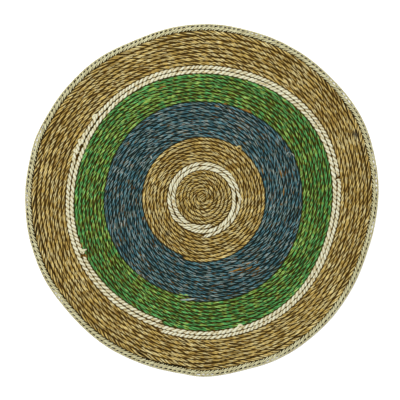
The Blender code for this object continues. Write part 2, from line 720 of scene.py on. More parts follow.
STREAKS = Grain(girth=2.2, along=120.0, detail=2.0)
STRAWS = Grain(girth=0.75, along=160.0, detail=1.0)
FLECKS = Grain(girth=0.60, along=150.0, detail=1.0, shift=40.0)

BLOTCH_LENGTH = 8.0 * MM
DYE_LENGTH = 9.0 * MM
DYE_SHIFT = 17.0
PATCHES_PER_METRE = 38.0

# Height of the cords' middle, from which the depth is counted that steers the painted shade in the
# grooves and the painted highlight on the crests.
MIDDLE_Z = 2.2 * MM

FIBRE_MASKS = (
    "Streak", "Straw", "Blotch", "Dye", "Patch", "Depth", "Side", "Fleck", "Radius", "Height",
)


def fibre_group() -> bpy.types.NodeTree:
    """Streaks, blotches and painted-shade masks of twisted plant fibre, shared by every strand.

    Returns:
        A group that reads the strand's own UV map and the object's coordinates.
    """
    found = bpy.data.node_groups.get("twisted_fibre")
    if found:
        return found
    tree = bpy.data.node_groups.new("twisted_fibre", "ShaderNodeTree")
    face = tree.interface
    length = face.new_socket("Blotch Length", in_out="INPUT", socket_type="NodeSocketFloat")
    length.default_value = BLOTCH_LENGTH
    for name in FIBRE_MASKS:
        face.new_socket(name, in_out="OUTPUT", socket_type="NodeSocketFloat")
    sheet = NodeSheet(tree)
    given = sheet.add("NodeGroupInput")
    result = sheet.add("NodeGroupOutput")
    for name, value in fibre_masks(sheet, given.outputs["Blotch Length"]).items():
        sheet.link(value, result.inputs[name])
    return tree


def fibre_masks(sheet: NodeSheet, blotch_length: Socket) -> dict[str, Socket]:
    """The group's outputs.

    Args:
        sheet: the group's nodes.
        blotch_length: how long a darker or paler stretch of a strand is.

    Returns:
        The value of each mask. Depth is 1 at the cords' crests and 0 in the grooves, Side 1 at a
        strand's flanks, Fleck high on undyed fibre and Radius the distance from the heart. Depth
        and Side steer the painted shade in the grooves and on the flanks and the painted
        highlight on the crests.
    """
    uv = sheet.add("ShaderNodeUVMap", uv_map="UVMap")
    along, round_share, _ = sheet.parts(uv.outputs["UV"])
    around = sheet.math("MULTIPLY", round_share, TAU)
    place = sheet.add("ShaderNodeTexCoord").outputs["Object"]
    x, y, z = sheet.parts(place)
    from_x = sheet.math("POWER", sheet.math("SUBTRACT", x, COIL.heart_x), 2.0)
    from_y = sheet.math("POWER", sheet.math("SUBTRACT", y, COIL.heart_y), 2.0)
    streak = STREAKS.value(sheet, around, along)
    straw = STRAWS.value(sheet, around, along)
    blotch = sheet.noise(sheet.line(along, blotch_length, 0.0), 1.0, 0.0)
    dye = sheet.noise(sheet.line(along, DYE_LENGTH, DYE_SHIFT), 1.0, 1.0)
    patch = sheet.noise(place, PATCHES_PER_METRE, 2.0)
    # Height off the cords' middle and each strand's flank: masks for painted shade and highlight.
    off_middle = sheet.math("ABSOLUTE", sheet.math("SUBTRACT", z, MIDDLE_Z))
    flank = sheet.math("ABSOLUTE", sheet.math("COSINE", around))
    return {
        "Streak": sheet.spread(streak, 0.30, 0.70),
        "Straw": sheet.spread(straw, 0.38, 0.62),
        "Blotch": sheet.spread(blotch, 0.32, 0.68),
        "Dye": sheet.spread(dye, 0.32, 0.68),
        "Patch": sheet.spread(patch, 0.32, 0.68),
        "Depth": sheet.spread(off_middle, 0.60 * MM, 1.70 * MM),
        "Side": sheet.spread(flank, 0.45, 1.0),
        "Fleck": FLECKS.value(sheet, around, along),
        "Radius": sheet.math("SQRT", sheet.math("ADD", from_x, from_y)),
        "Height": streak,
    }


def new_finish(name: str) -> tuple[bpy.types.Material, NodeSheet, bpy.types.Node]:
    """A new material, the helper for its nodes, and its Principled shader."""
    made = bpy.data.materials.new(name)
    made.use_nodes = True
    return made, NodeSheet(made.node_tree), made.node_tree.nodes["Principled BSDF"]


STAIN_COLOUR: Colour = (0.030, 0.034, 0.030)
STAIN_Z = 4.0 * MM
STAIN_STRENGTH = 0.85


@dataclass(frozen=True)
class Stain:
    """A dark spot: its bearing in degrees, its distance from the heart and its radius."""

    bearing_deg: float
    radius: float
    size: float

    def share(self, sheet: NodeSheet) -> Socket:
        """How strongly the spot colours each point: most at its middle.

        Args:
            sheet: the material's nodes.

        Returns:
            The spot's share, from 0 to STAIN_STRENGTH.
        """
        middle = COIL.spot(np.array(self.bearing_deg), np.array(self.radius), np.array(STAIN_Z))
        place = sheet.add("ShaderNodeTexCoord")
        away = sheet.add("ShaderNodeVectorMath", operation="DISTANCE")
        sheet.link(place.outputs["Object"], away.inputs[0])
        away.inputs[1].default_value = tuple(middle)
        return sheet.spread(away.outputs["Value"], 0.0, self.size, STAIN_STRENGTH, 0.0)


# How much each kind of mark counts in a strand's tone.
TONE_WEIGHTS = (("Streak", 0.24), ("Straw", 0.38), ("Blotch", 0.38))

# The depth and the patch value that leave a tone as it is. Above that depth the crests are
# painted paler as a highlight, below it the fibre darker as shade.
EVEN_DEPTH = 0.6
EVEN_PATCH = 0.5

# A strand changes from the first run of tones to the other between these two values.
CHANGE_FROM, CHANGE_TO = 0.45, 0.75
PATCH_LEAN = 0.12
FLECK_EDGE = 0.03

ROUGHNESS_SPREAD = 0.08
BUMP_STRENGTH = 0.6
BUMP_DISTANCE = 0.35 * MM
FIBRE_SHINE = 0.15


@dataclass(frozen=True)
class FibreFinish:
    """Colours and surface of one kind of cord.

    tones run from the darkest fibre to the palest, and other is a second such run that strands
    change to. other_bias makes that more frequent, and lean_share adds to it on the side of
    other_from and takes from it on the side of other_to, two distances from the heart. The
    colour for the grooves is painted shade deep between the plies, fleck that of fibre which
    took no dye, above fleck_limit. blotch_length is that of the darker and paler stretches. The
    crest highlight is how much paler the crests are painted, as a highlight, and lower fibre
    darker, as shade, patch_share how much large patches differ, the share of shade in the
    grooves how strongly they are painted with shade and the share of shade on the flanks how
    strongly the flanks of each strand are. stains are its dark spots.
    """

    name: str
    tones: Tones
    other: Tones
    # The colour of the painted shade in the grooves.
    groove_shade: Colour
    fleck: Colour
    fleck_limit: float = 0.66
    other_bias: float = 0.0
    other_from: float = 0.0
    other_to: float = 0.0
    lean_share: float = 0.13
    roughness: float = 0.70
    blotch_length: float = BLOTCH_LENGTH
    # How much paler the crests are painted, as a highlight, and lower fibre darker, as shade.
    crest_highlight: float = 0.30
    patch_share: float = 0.20
    stains: tuple[Stain, ...] = ()
    # How strongly the grooves are painted with shade.
    groove_shade_share: float = 1.0
    # How strongly the flanks of each strand are painted with shade.
    flank_shade_share: float = 0.0

    def material(self) -> bpy.types.Material:
        """Build the finish as a Principled material."""
        made, sheet, shader = new_finish(self.name)
        fibre = sheet.add("ShaderNodeGroup", node_tree=fibre_group())
        fibre.inputs["Blotch Length"].default_value = self.blotch_length
        masks = fibre.outputs
        sheet.link(self.colour(sheet, masks), shader.inputs["Base Color"])
        dull, smooth = self.roughness + ROUGHNESS_SPREAD, self.roughness - ROUGHNESS_SPREAD
        sheet.link(sheet.spread(masks["Streak"], 0.0, 1.0, dull, smooth), shader.inputs["Roughness"])
        bump = sheet.add("ShaderNodeBump")
        bump.inputs["Strength"].default_value = BUMP_STRENGTH
        bump.inputs["Distance"].default_value = BUMP_DISTANCE
        sheet.link(masks["Height"], bump.inputs["Height"])
        sheet.link(bump.outputs["Normal"], shader.inputs["Normal"])
        shader.inputs["Specular IOR Level"].default_value = FIBRE_SHINE
        return made

    def colour(self, sheet: NodeSheet, masks: bpy.types.NodeOutputs) -> Socket:
        """The fibre's colour: its tones, then flecks, painted shade and stains over them.

        Args:
            sheet: the material's nodes.
            masks: the outputs of the fibre group.

        Returns:
            The colour.
        """
        tone = self.tone(sheet, masks)
        leaning = self.lean(sheet, masks["Radius"])
        patchy = sheet.math("MULTIPLY_ADD", masks["Patch"], PATCH_LEAN, leaning)
        change = sheet.spread(sheet.math("ADD", masks["Dye"], patchy), CHANGE_FROM, CHANGE_TO)
        colour = sheet.mix(change, sheet.ramp(tone, self.tones), sheet.ramp(tone, self.other))
        fleck = sheet.spread(masks["Fleck"], self.fleck_limit, self.fleck_limit + FLECK_EDGE)
        colour = sheet.mix(fleck, colour, self.fleck)
        # Painted shade: the grooves, and the flanks where asked, take the shade colour.
        painted_shade = sheet.math("MULTIPLY", sheet.math("SUBTRACT", 1.0, masks["Depth"]), self.groove_shade_share)
        if self.flank_shade_share:
            painted_shade = sheet.math("MAXIMUM", painted_shade, sheet.math("MULTIPLY", masks["Side"], self.flank_shade_share))
        colour = sheet.mix(painted_shade, colour, self.groove_shade)
        for stain in self.stains:
            colour = sheet.mix(stain.share(sheet), colour, STAIN_COLOUR)
        return colour

    def tone(self, sheet: NodeSheet, masks: bpy.types.NodeOutputs) -> Socket:
        """Where each point stands between the darkest fibre and the palest.

        Args:
            sheet: the material's nodes.
            masks: the outputs of the fibre group.

        Returns:
            The tone, 0 for the darkest and 1 for the palest.
        """
        tone = 0.0
        for mask, weight in TONE_WEIGHTS:
            tone = sheet.math("MULTIPLY_ADD", masks[mask], weight, tone)
        # Painted highlight on the crests above EVEN_DEPTH, painted shade below it.
        above = sheet.math("SUBTRACT", masks["Depth"], EVEN_DEPTH)
        tone = sheet.math("MULTIPLY_ADD", above, self.crest_highlight, tone)
        differing = sheet.math("SUBTRACT", masks["Patch"], EVEN_PATCH)
        return sheet.math("MULTIPLY_ADD", differing, self.patch_share, tone)

    def lean(self, sheet: NodeSheet, radius: Socket) -> object:
        """How much more often strands change to the other run of tones at this radius.

        Args:
            sheet: the material's nodes.
            radius: the distance from the heart.

        Returns:
            A socket, or a plain number where it is the same everywhere.
        """
        if self.other_from == self.other_to:
            return self.other_bias
        low, high = self.other_bias + self.lean_share, self.other_bias - self.lean_share
        return sheet.spread(radius, self.other_from, self.other_to, low, high)


# Each finish's colour for the grooves is painted shade between the plies.
NATURAL = FibreFinish(
    name="natural_fibre",
    tones=(
        (0.00, (0.135, 0.075, 0.011)),
        (0.30, (0.315, 0.200, 0.041)),
        (0.60, (0.485, 0.338, 0.083)),
        (1.00, (0.750, 0.590, 0.225)),
    ),
    other=(
        (0.00, (0.130, 0.082, 0.020)),
        (0.40, (0.340, 0.245, 0.072)),
        (1.00, (0.740, 0.640, 0.310)),
    ),
    groove_shade=(0.078, 0.041, 0.006),
    fleck=(0.210, 0.115, 0.022),
    stains=(Stain(22.2, 178.2 * MM, 7.0 * MM), Stain(225.6, 55.0 * MM, 5.0 * MM)),
)

CREAM = FibreFinish(
    name="bleached_fibre",
    tones=(
        (0.00, (0.560, 0.500, 0.300)),
        (0.30, (0.700, 0.670, 0.460)),
        (1.00, (0.780, 0.785, 0.600)),
    ),
    other=(
        (0.00, (0.480, 0.400, 0.195)),
        (0.40, (0.660, 0.615, 0.390)),
        (1.00, (0.770, 0.755, 0.560)),
    ),
    groove_shade=(0.430, 0.340, 0.160),
    fleck=(0.540, 0.430, 0.210),
    other_bias=-0.15,
    roughness=0.62,
    crest_highlight=0.0,
)

BLUE = FibreFinish(
    name="blue_dyed_fibre",
    tones=(
        (0.00, (0.014, 0.032, 0.036)),
        (0.35, (0.028, 0.082, 0.096)),
        (0.68, (0.055, 0.160, 0.190)),
        (1.00, (0.150, 0.320, 0.350)),
    ),
    other=(
        (0.00, (0.024, 0.040, 0.034)),
        (0.40, (0.075, 0.125, 0.105)),
        (0.75, (0.150, 0.230, 0.220)),
        (1.00, (0.335, 0.375, 0.330)),
    ),
    groove_shade=(0.012, 0.024, 0.021),
    fleck=(0.160, 0.082, 0.012),
    fleck_limit=0.69,
    patch_share=0.10,
)

GREEN = FibreFinish(
    name="green_dyed_fibre",
    tones=(
        (0.00, (0.014, 0.044, 0.010)),
        (0.35, (0.038, 0.158, 0.036)),
        (0.68, (0.078, 0.310, 0.076)),
        (1.00, (0.165, 0.510, 0.145)),
    ),
    other=(
        (0.00, (0.042, 0.052, 0.006)),
        (0.35, (0.112, 0.182, 0.024)),
        (0.68, (0.212, 0.365, 0.060)),
        (1.00, (0.390, 0.590, 0.155)),
    ),
    groove_shade=(0.038, 0.037, 0.003),
    fleck=(0.200, 0.095, 0.022),
    fleck_limit=0.70,
    patch_share=0.10,
    blotch_length=6.0 * MM,
    other_from=112.0 * MM,
    other_to=140.0 * MM,
)

RUST = FibreFinish(
    name="undyed_rust_fibre",
    tones=(
        (0.00, (0.140, 0.062, 0.008)),
        (0.60, (0.250, 0.125, 0.018)),
        (1.00, (0.380, 0.210, 0.050)),
    ),
    other=((0.00, (0.120, 0.060, 0.010)), (1.00, (0.340, 0.180, 0.040))),
    groove_shade=(0.080, 0.040, 0.006),
    fleck=(0.160, 0.082, 0.012),
    crest_highlight=0.1,
)

KNOT_TONES: Tones = (
    (0.00, (0.115, 0.070, 0.012)),
    (1.00, (0.255, 0.165, 0.036)),
)

GOLDEN = FibreFinish(
    name="golden_brown_fibre",
    tones=KNOT_TONES,
    other=KNOT_TONES,
    groove_shade=(0.078, 0.041, 0.006),
    fleck=(0.210, 0.115, 0.022),
    stains=(Stain(22.2, 178.2 * MM, 7.0 * MM),),
)

PALE_STRAW = FibreFinish(
    name="pale_loose_fibre",
    tones=((0.00, (0.560, 0.420, 0.140)), (1.00, (0.820, 0.710, 0.370))),
    other=((0.00, (0.480, 0.345, 0.100)), (1.00, (0.780, 0.665, 0.330))),
    groove_shade=(0.300, 0.205, 0.060),
    fleck=(0.520, 0.400, 0.160),
)

PALE_BLUE = FibreFinish(
    name="pale_blue_loose_fibre",
    tones=((0.00, (0.120, 0.220, 0.240)), (1.00, (0.340, 0.460, 0.470))),
    other=((0.00, (0.180, 0.230, 0.215)), (1.00, (0.460, 0.460, 0.390))),
    groove_shade=(0.040, 0.070, 0.070),
    fleck=(0.240, 0.140, 0.050),
)

PALE_GREEN = FibreFinish(
    name="pale_green_loose_fibre",
    tones=((0.00, (0.100, 0.290, 0.080)), (1.00, (0.210, 0.480, 0.150))),
    other=((0.00, (0.200, 0.320, 0.060)), (1.00, (0.380, 0.560, 0.180))),
    groove_shade=(0.060, 0.120, 0.025),
    fleck=(0.300, 0.170, 0.060),
)

LEAF = FibreFinish(
    name="bright_leaf_strip",
    tones=((0.00, (0.150, 0.300, 0.052)), (1.00, (0.280, 0.450, 0.092))),
    other=((0.00, (0.190, 0.310, 0.050)), (1.00, (0.340, 0.470, 0.090))),
    groove_shade=(0.045, 0.085, 0.012),
    fleck=(0.300, 0.170, 0.060),
    crest_highlight=0.10,
)

BINDING = FibreFinish(
    name="pale_stitched_cotton",
    tones=(
        (0.00, (0.460, 0.415, 0.215)),
        (0.40, (0.610, 0.585, 0.345)),
        (1.00, (0.730, 0.715, 0.470)),
    ),
    other=((0.00, (0.400, 0.345, 0.160)), (1.00, (0.670, 0.640, 0.400))),
    groove_shade=(0.170, 0.125, 0.040),
    fleck=(0.380, 0.310, 0.140),
    roughness=0.80,
    crest_highlight=0.0,
    # Painted shade on the stitches' flanks, and a little in their grooves.
    groove_shade_share=0.15,
    flank_shade_share=0.6,
)


@dataclass(frozen=True)
class InnerFinish:
    """Inner fibre deep between the cords, its dark colour partly painted shade.

    bands give the distance from the heart where each colour begins, up to widest: near-black
    tints of the ring above, painted shade for the gaps between the rows and, under the binding,
    for its holes. rust is the colour of the undyed fibre that shows in patches, whose strength
    falls to rust_outside over the distances rust_ends. patch_edges are the noise's values from a
    patch's edge to its full colour.
    """

    name: str = "inner_fibre_and_painted_shade"
    bands: tuple[tuple[float, Colour], ...] = (
        (0.0, (0.050, 0.028, 0.005)),
        (66.5 * MM, (0.010, 0.017, 0.014)),
        (109.0 * MM, (0.030, 0.024, 0.002)),
        (141.0 * MM, (0.055, 0.031, 0.005)),
        # Under the binding: near-black, painted shade for the holes.
        (179.0 * MM, (0.016, 0.011, 0.004)),
    )
    widest: float = 200.0 * MM
    rust: Colour = (0.130, 0.060, 0.008)
    rust_ends: tuple[float, float] = (174.0 * MM, 180.0 * MM)
    rust_outside: float = 0.2
    patches_per_metre: float = 160.0
    patch_edges: tuple[float, float] = (0.52, 0.66)
    roughness: float = 0.95

    def material(self) -> bpy.types.Material:
        """Build the finish as a dull Principled material."""
        made, sheet, shader = new_finish(self.name)
        radius = sheet.add("ShaderNodeGroup", node_tree=fibre_group()).outputs["Radius"]
        place = sheet.add("ShaderNodeTexCoord").outputs["Object"]
        stops = tuple((start / self.widest, colour) for start, colour in self.bands)
        colour = sheet.ramp(sheet.math("DIVIDE", radius, self.widest), stops, "CONSTANT")
        rusty = sheet.spread(sheet.noise(place, self.patches_per_metre, 2.0), *self.patch_edges)
        inside = sheet.spread(radius, *self.rust_ends, 1.0, self.rust_outside)
        colour = sheet.mix(sheet.math("MULTIPLY", rusty, inside), colour, self.rust)
        sheet.link(colour, shader.inputs["Base Color"])
        shader.inputs["Roughness"].default_value = self.roughness
        shader.inputs["Specular IOR Level"].default_value = 0.0
        return made


@dataclass(frozen=True)
class Slip:
    """A place where one turn of a cord leaves its even run.

    row counts the ring's turns from its start. push is how far outward the cord lies there, thin
    the share of its thickness that is gone, and reach the distance over which it returns.
    """

    row: int
    bearing_deg: float
    push: float = 0.0
    thin: float = 0.0
    reach: float = 3.0 * MM

    def share(self, first: float, turn: np.ndarray) -> np.ndarray:
        """1 at the slip, falling to 0 away from it along the cord.

        Args:
            first: turns of the coil where the ring begins.
            turn: turns at the cord's sections.

        Returns:
            The slip's strength at each section.
        """
        there = (COIL.start_deg - self.bearing_deg) / 360.0
        there += math.ceil(first + self.row - there)
        away = (turn - there) * TAU * COIL.middle(np.array(there))
        return np.exp(-((away / self.reach) ** 2))


# How far along a cord its course, its height, its lay, the place of its plies, their looseness
# and their thickness take to change at random.
SWAY_EVERY = 24.0 * MM
LIFT_EVERY = 30.0 * MM
LAY_EVERY = 13.0 * MM
PLY_EVERY = 15.0 * MM
LOOSE_EVERY = 11.0 * MM
SWELL_EVERY = 8.0 * MM
FINE_SWELL_EVERY = 3.0 * MM

# How much the height, the looseness and the finest thickness change.
LIFT = 0.16 * MM
LOOSENESS = 0.12
FINE_SWELL = 0.06

# How deep an end sinks under its neighbour, and the share of its girth that is left there.
END_SINK = 0.9 * MM
END_GIRTH = 0.4

# Half of the row that a ply's section is drawn for.
USUAL_HALF_ROW = 2.05 * MM

# A widened last turn reaches its width within WIDE_OVER of a turn and has lost WIDE_LOST of the
# extra width at its end. Its plies leave WIDE_UNFILLED of the extra width free to each side, and
# half its height shrinks by WIDE_FLATTER of it.
WIDE_OVER = 0.03
WIDE_LOST = 0.3
WIDE_UNFILLED = 0.36
WIDE_FLATTER = 0.16

STATIONS_PER_TURN = 720


@dataclass
class CordRun:
    """What the plies of one cord share, with a value at each section.

    turn counts the coil's turns, radius is the cord's distance from the heart in the even coil,
    half its half width, extra how much wider than its row it lies, lift its height above the
    usual one and phase the angle of its twist. fade is 1 and falls to 0 at the cord's ends, and
    full is the share of its girth that no slip takes away.
    """

    turn: np.ndarray
    radius: np.ndarray
    half: np.ndarray
    extra: np.ndarray
    lift: np.ndarray
    phase: np.ndarray
    fade: np.ndarray
    full: np.ndarray


@dataclass
class WoundRing:
    """One ring of the mat as real cord: plies twisted round each other along the coil.

    lay is the length of one whole twist, wind the share of the cord's radius that the plies run
    at, and step the distance between two sections of a ply. swell is how much a ply's thickness
    wanders, lay_wander how much the lay does, ply_wander how far a ply leaves its place round
    the cord in radians, and sway how far the cord leaves its row. overrun is how far the cord's
    ends run on past the change of colour, tapering under their neighbour. swing is how far the
    cord's last swing_length leaves the coil outward, last_turn_extra how much wider its last
    turn lies, and slips are its other irregular places.
    """

    ring: Ring
    slot: str
    finish: FibreFinish
    twist: Twist
    lay: float
    step: float
    seed: int
    half_width: float = 0.80 * MM
    half_thickness: float = 0.76 * MM
    corners: int = 5
    plies: int = 4
    wind: float = 0.60
    height: float = 4.35 * MM
    swell: float = 0.20
    lay_wander: float = 0.45
    ply_wander: float = 0.40
    sway: float = 0.20 * MM
    overrun: float = 5.0 * MM
    swing: float = 0.0
    swing_length: float = 22.0 * MM
    last_turn_extra: float = 0.0
    slips: tuple[Slip, ...] = ()

    def build(self) -> bpy.types.Object:
        piece = dress(self.make_cord(), self.finish.material())
        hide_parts(self.ring.name)
        return piece

    @property
    def first(self) -> float:
        """Turns of the coil where the ring begins."""
        return COIL.start_of(self.ring.name)

    @property
    def last(self) -> float:
        """Turns of the coil where the ring ends."""
        return self.first + self.ring.length_in_turns

    def stations(self) -> np.ndarray:
        """Turns of the coil at even distances along the cord, with the overrun at both ends."""
        begin = self.first
        if self.first > 0.0:
            begin -= self.overrun / (TAU * COIL.middle(np.array(self.first)))
        end = self.last + self.overrun / (TAU * COIL.middle(np.array(self.last)))
        fine = np.linspace(begin, end, int(self.ring.length_in_turns * STATIONS_PER_TURN) + 2)
        points = COIL.place(COIL.middle(fine), COIL.bearing(fine), 0.0)
        run = np.concatenate([[0.0], np.cumsum(np.linalg.norm(np.diff(points, axis=0), axis=1))])
        return np.interp(np.linspace(0.0, run[-1], int(run[-1] / self.step)), run, fine)

    def make_cord(self) -> bpy.types.Object:
        """Twist the plies along the coil and make one mesh of them."""
        rng = np.random.default_rng(self.seed)
        run = self.course(rng)
        section = Section(self.half_width, self.half_thickness, self.corners)
        pieces = []
        for number in range(self.plies):
            strand = self.ply(number, run, rng)
            pieces.append(sweep(f"{self.ring.name}_ply_{number}", [strand], section))
        piece = join(pieces, f"{self.ring.name}_cord")
        lift_off_floor(piece)
        return piece

    def course(self, rng: np.random.Generator) -> CordRun:
        """The cord's run along the coil, uneven as wound by hand.

        Args:
            rng: the seeded source of its unevenness.

        Returns:
            What all plies of the cord share.
        """
        turn = self.stations()
        count = len(turn)
        knots = 1.0 / self.step
        left = (count - 1 - np.arange(count)) * self.step
        radius = COIL.middle(turn) + self.sway * drift(count, SWAY_EVERY * knots, rng)
        radius = radius + self.swing * eased(1.0 - left / self.swing_length)
        full = np.ones(count)
        for slip in self.slips:
            share = slip.share(self.first, turn)
            radius = radius + slip.push * share
            full = full - slip.thin * share
        on_last = turn - self.last + 1.0
        extra = self.last_turn_extra * eased(on_last / WIDE_OVER) * (1.0 - WIDE_LOST * on_last)
        lift = LIFT * drift(count, LIFT_EVERY * knots, rng)
        rate = 1.0 + self.lay_wander * drift(count, LAY_EVERY * knots, rng)
        phase = -self.twist.value * TAU * np.cumsum(rate) * self.step / self.lay
        half = (COIL.width(turn) + extra) / 2.0
        return CordRun(turn, radius + extra / 2.0, half, extra, lift, phase, self.end_fade(count), full)

    def ply(self, number: int, run: CordRun, rng: np.random.Generator) -> Strand:
        """One ply, winding round the cord's middle line.

        Args:
            number: which of the plies it is, from 0.
            run: the cord's run along the coil.
            rng: the seeded source of its unevenness.

        Returns:
            The ply's strand.
        """
        count = len(run.turn)
        knots = 1.0 / self.step
        astray = self.ply_wander * drift(count, PLY_EVERY * knots, rng)
        angle = run.phase + TAU * number / self.plies + astray
        loose = 1.0 + LOOSENESS * drift(count, LOOSE_EVERY * knots, rng)
        swell = 1.0 + self.swell * drift(count, SWELL_EVERY * knots, rng)
        swell = swell + FINE_SWELL * drift(count, FINE_SWELL_EVERY * knots, rng)
        reach = self.wind * run.half * loose * run.fade * run.full
        rise = self.wind * (self.height / 2.0 - WIDE_FLATTER * run.extra) * loose * run.fade * run.full
        middle_z = self.height / 2.0 + run.lift - END_SINK * (2.0 - run.fade - run.full)
        radius = run.radius + reach * np.sin(angle)
        points = COIL.place(radius, COIL.bearing(run.turn), middle_z + rise * np.cos(angle))
        girth = run.half - WIDE_UNFILLED * run.extra
        tapered = END_GIRTH + (1.0 - END_GIRTH) * run.fade
        return Strand(points, swell * tapered * run.full * girth / USUAL_HALF_ROW, angle)

    def end_fade(self, count: int) -> np.ndarray:
        """1 along the cord, falling to 0 towards its ends, but not at the heart.

        Args:
            count: the number of sections.

        Returns:
            The fade at each section.
        """
        at = np.arange(count) * self.step
        away = np.minimum(at, at[-1] - at) if self.first > 0.0 else at[-1] - at
        return eased(away / (2.0 * self.overrun))


@dataclass(frozen=True)
class LooseStrand:
    """A short piece of cord that leaves the coil: a splice, a loop, a frayed end.

    course is the bearing in degrees and the distance from the heart of each point it passes.
    top is the height of its upper side in the middle, and buried how much lower its ends lie.
    Its ends have end_width of its girth, and its thickness is flatness of its width. Its middle
    line runs rise_share of half_width below top.
    """

    name: str
    course: tuple[tuple[float, float], ...]
    half_width: float
    top: float
    buried: float
    end_width: float = 0.45
    flatness: float = 0.75
    rise_share: float = 0.8
    points: int = 9
    corners: int = 8

    def build(self) -> bpy.types.Object:
        """Sweep the piece along its middle line, highest in the middle."""
        bearing, radius = np.array(self.course).T
        arch = np.sin(math.pi * np.linspace(0.0, 1.0, len(bearing)))
        height = self.top - self.half_width * self.rise_share - self.buried * (1.0 - arch)
        rows = COIL.spot(bearing, radius, height)
        width = self.end_width + (1.0 - self.end_width) * arch
        path = smooth_path(np.concatenate([rows, width[:, None]], axis=1), self.points)
        section = Section(self.half_width, self.half_width * self.flatness, self.corners)
        return sweep(self.name, [unrolled(path)], section)


@dataclass
class LooseStrands:
    """All loose pieces of one finish, as one object."""

    name: str
    slot: str
    finish: FibreFinish
    pieces: tuple[LooseStrand, ...]

    def build(self) -> bpy.types.Object:
        whole = join([piece.build() for piece in self.pieces], self.name)
        return dress(whole, self.finish.material())


@dataclass
class Fuzz:
    """Thin fibres that lie loose on the cords of one ring, from near to far from the heart.

    A fibre is shortest to longest long and slants outward by slant_deg, give or take
    wander_deg. It bends aside by up to bend, its ends dip below top by dip, and its width is
    a factor from the range widths, less end_loss of it at its ends.
    """

    name: str
    slot: str
    finish: FibreFinish
    near: float
    far: float
    count: int
    seed: int
    half_width: float = 0.38 * MM
    flatness: float = 0.8
    shortest: float = 4.0 * MM
    longest: float = 8.5 * MM
    slant_deg: float = 15.0
    wander_deg: float = 7.0
    bend: float = 0.6 * MM
    top: float = 4.35 * MM
    dip: float = 0.9 * MM
    widths: tuple[float, float] = (0.7, 1.2)
    end_loss: float = 0.5
    points: int = 6

    def build(self) -> bpy.types.Object:
        rng = np.random.default_rng(self.seed)
        strands = [self.fibre(rng) for _ in range(self.count)]
        section = Section(self.half_width, self.half_width * self.flatness, 4)
        piece = join([sweep(self.name, strands, section)], self.name)
        return dress(piece, self.finish.material())

    def fibre(self, rng: np.random.Generator) -> Strand:
        """One fibre, nearly along the cord, its ends tucked in.

        Args:
            rng: the seeded source of its place, length and bend.

        Returns:
            The fibre's strand.
        """
        radius = math.sqrt(rng.uniform(self.near**2, self.far**2))
        angle = rng.uniform(0.0, TAU)
        length = rng.uniform(self.shortest, self.longest)
        slant = math.radians(rng.normal(self.slant_deg, self.wander_deg))
        share = np.linspace(-0.5, 0.5, self.points)
        aside = rng.uniform(-self.bend, self.bend) * np.cos(math.pi * share)
        across = length * share * math.sin(slant) + aside
        along = length * share * math.cos(slant) / radius
        height = self.top - self.dip * (2.0 * share) ** 2
        points = COIL.place(radius + across, angle + along, height)
        width = rng.uniform(*self.widths) * (1.0 - self.end_loss * np.abs(2.0 * share))
        return Strand(points, width, np.zeros(len(share)))


@dataclass
class Ground:
    """The inner fibre that holds the rows together and shows between the plies, painted dark as shade.

    Each row of it is a rib from crest_z down to valley_z. Under the binding it runs from seam_z
    down to low_z and ends short_of_rim before the rim. At the bearings open_at, and open_reach
    degrees to both sides, it ends before the binding's holes, short_where_open before the rim,
    so that the floor shows through them.
    """

    steps_per_turn: int = 96
    crest_z: float = 2.5 * MM
    valley_z: float = 1.8 * MM
    low_z: float = 1.1 * MM
    seam_z: float = 3.0 * MM
    thickness: float = 0.8 * MM
    short_of_rim: float = 1.7 * MM
    short_where_open: float = 3.1 * MM
    open_at: tuple[float, ...] = (
        4.5, 12.0, 34.5, 42.0, 72.0, 158.3, 162.0, 180.8, 214.5, 270.8, 293.3, 349.5,
    )
    open_reach: float = 1.8
    merge_distance: float = 0.005 * MM

    def build(self) -> bpy.types.Object:
        """Make and dress the ground."""
        columns = math.ceil((COIL.turns + 1.0) * self.steps_per_turn)
        bpy.ops.mesh.primitive_grid_add(x_subdivisions=columns, y_subdivisions=2, size=2.0)
        piece = bpy.context.object
        piece.name = "mat_ground"
        flat = points_of(piece)
        column = np.round((flat[:, 0] + 1.0) * columns / 2.0)
        row = np.round(flat[:, 1] + 1.0)
        move_points(piece, self.spots(column / self.steps_per_turn, row))
        self.thicken(piece)
        return dress(piece, InnerFinish().material())

    def spots(self, turn: np.ndarray, row: np.ndarray) -> np.ndarray:
        """Points of the ribbed sheet: inner groove, crest and outer groove are rows 0, 1 and 2.

        Args:
            turn: turns of the coil.
            row: the row that each point is in.

        Returns:
            The points.
        """
        angle = COIL.bearing(turn)
        inner = np.where(turn < 1.0, 0.0, COIL.edge(turn))
        under_binding = turn > COIL.turns
        outer = np.where(under_binding, COIL.rim(angle) - self.gap_to_rim(angle), COIL.edge(turn + 1.0))
        radius = inner + (outer - inner) * row / 2.0
        height = np.where(row == 1, self.crest_z, self.valley_z)
        height = np.where(under_binding, np.where(row == 0, self.seam_z, self.low_z), height)
        return COIL.place(radius, angle, height)

    def gap_to_rim(self, angle: np.ndarray) -> np.ndarray:
        """How far short of the rim the ground ends; where holes are open it ends before them.

        Args:
            angle: bearings in radians.

        Returns:
            The gap at each bearing.
        """
        gap = np.full(len(angle), self.short_of_rim)
        for bearing in self.open_at:
            near = np.abs(degrees_from(angle, bearing)) < self.open_reach
            gap = np.where(near, self.short_where_open, gap)
        return gap

    def thicken(self, piece: bpy.types.Object) -> None:
        """Join the turns of the sheet and give it its thickness."""
        make_active(piece)
        bpy.ops.object.mode_set(mode="EDIT")
        bpy.ops.mesh.select_all(action="SELECT")
        bpy.ops.mesh.remove_doubles(threshold=self.merge_distance)
        bpy.ops.mesh.normals_make_consistent(inside=False)
        bpy.ops.object.mode_set(mode="OBJECT")
        wall = piece.modifiers.new("thickness", "SOLIDIFY")
        wall.thickness = self.thickness
        wall.offset = -1.0
        bpy.ops.object.modifier_apply(modifier=wall.name)


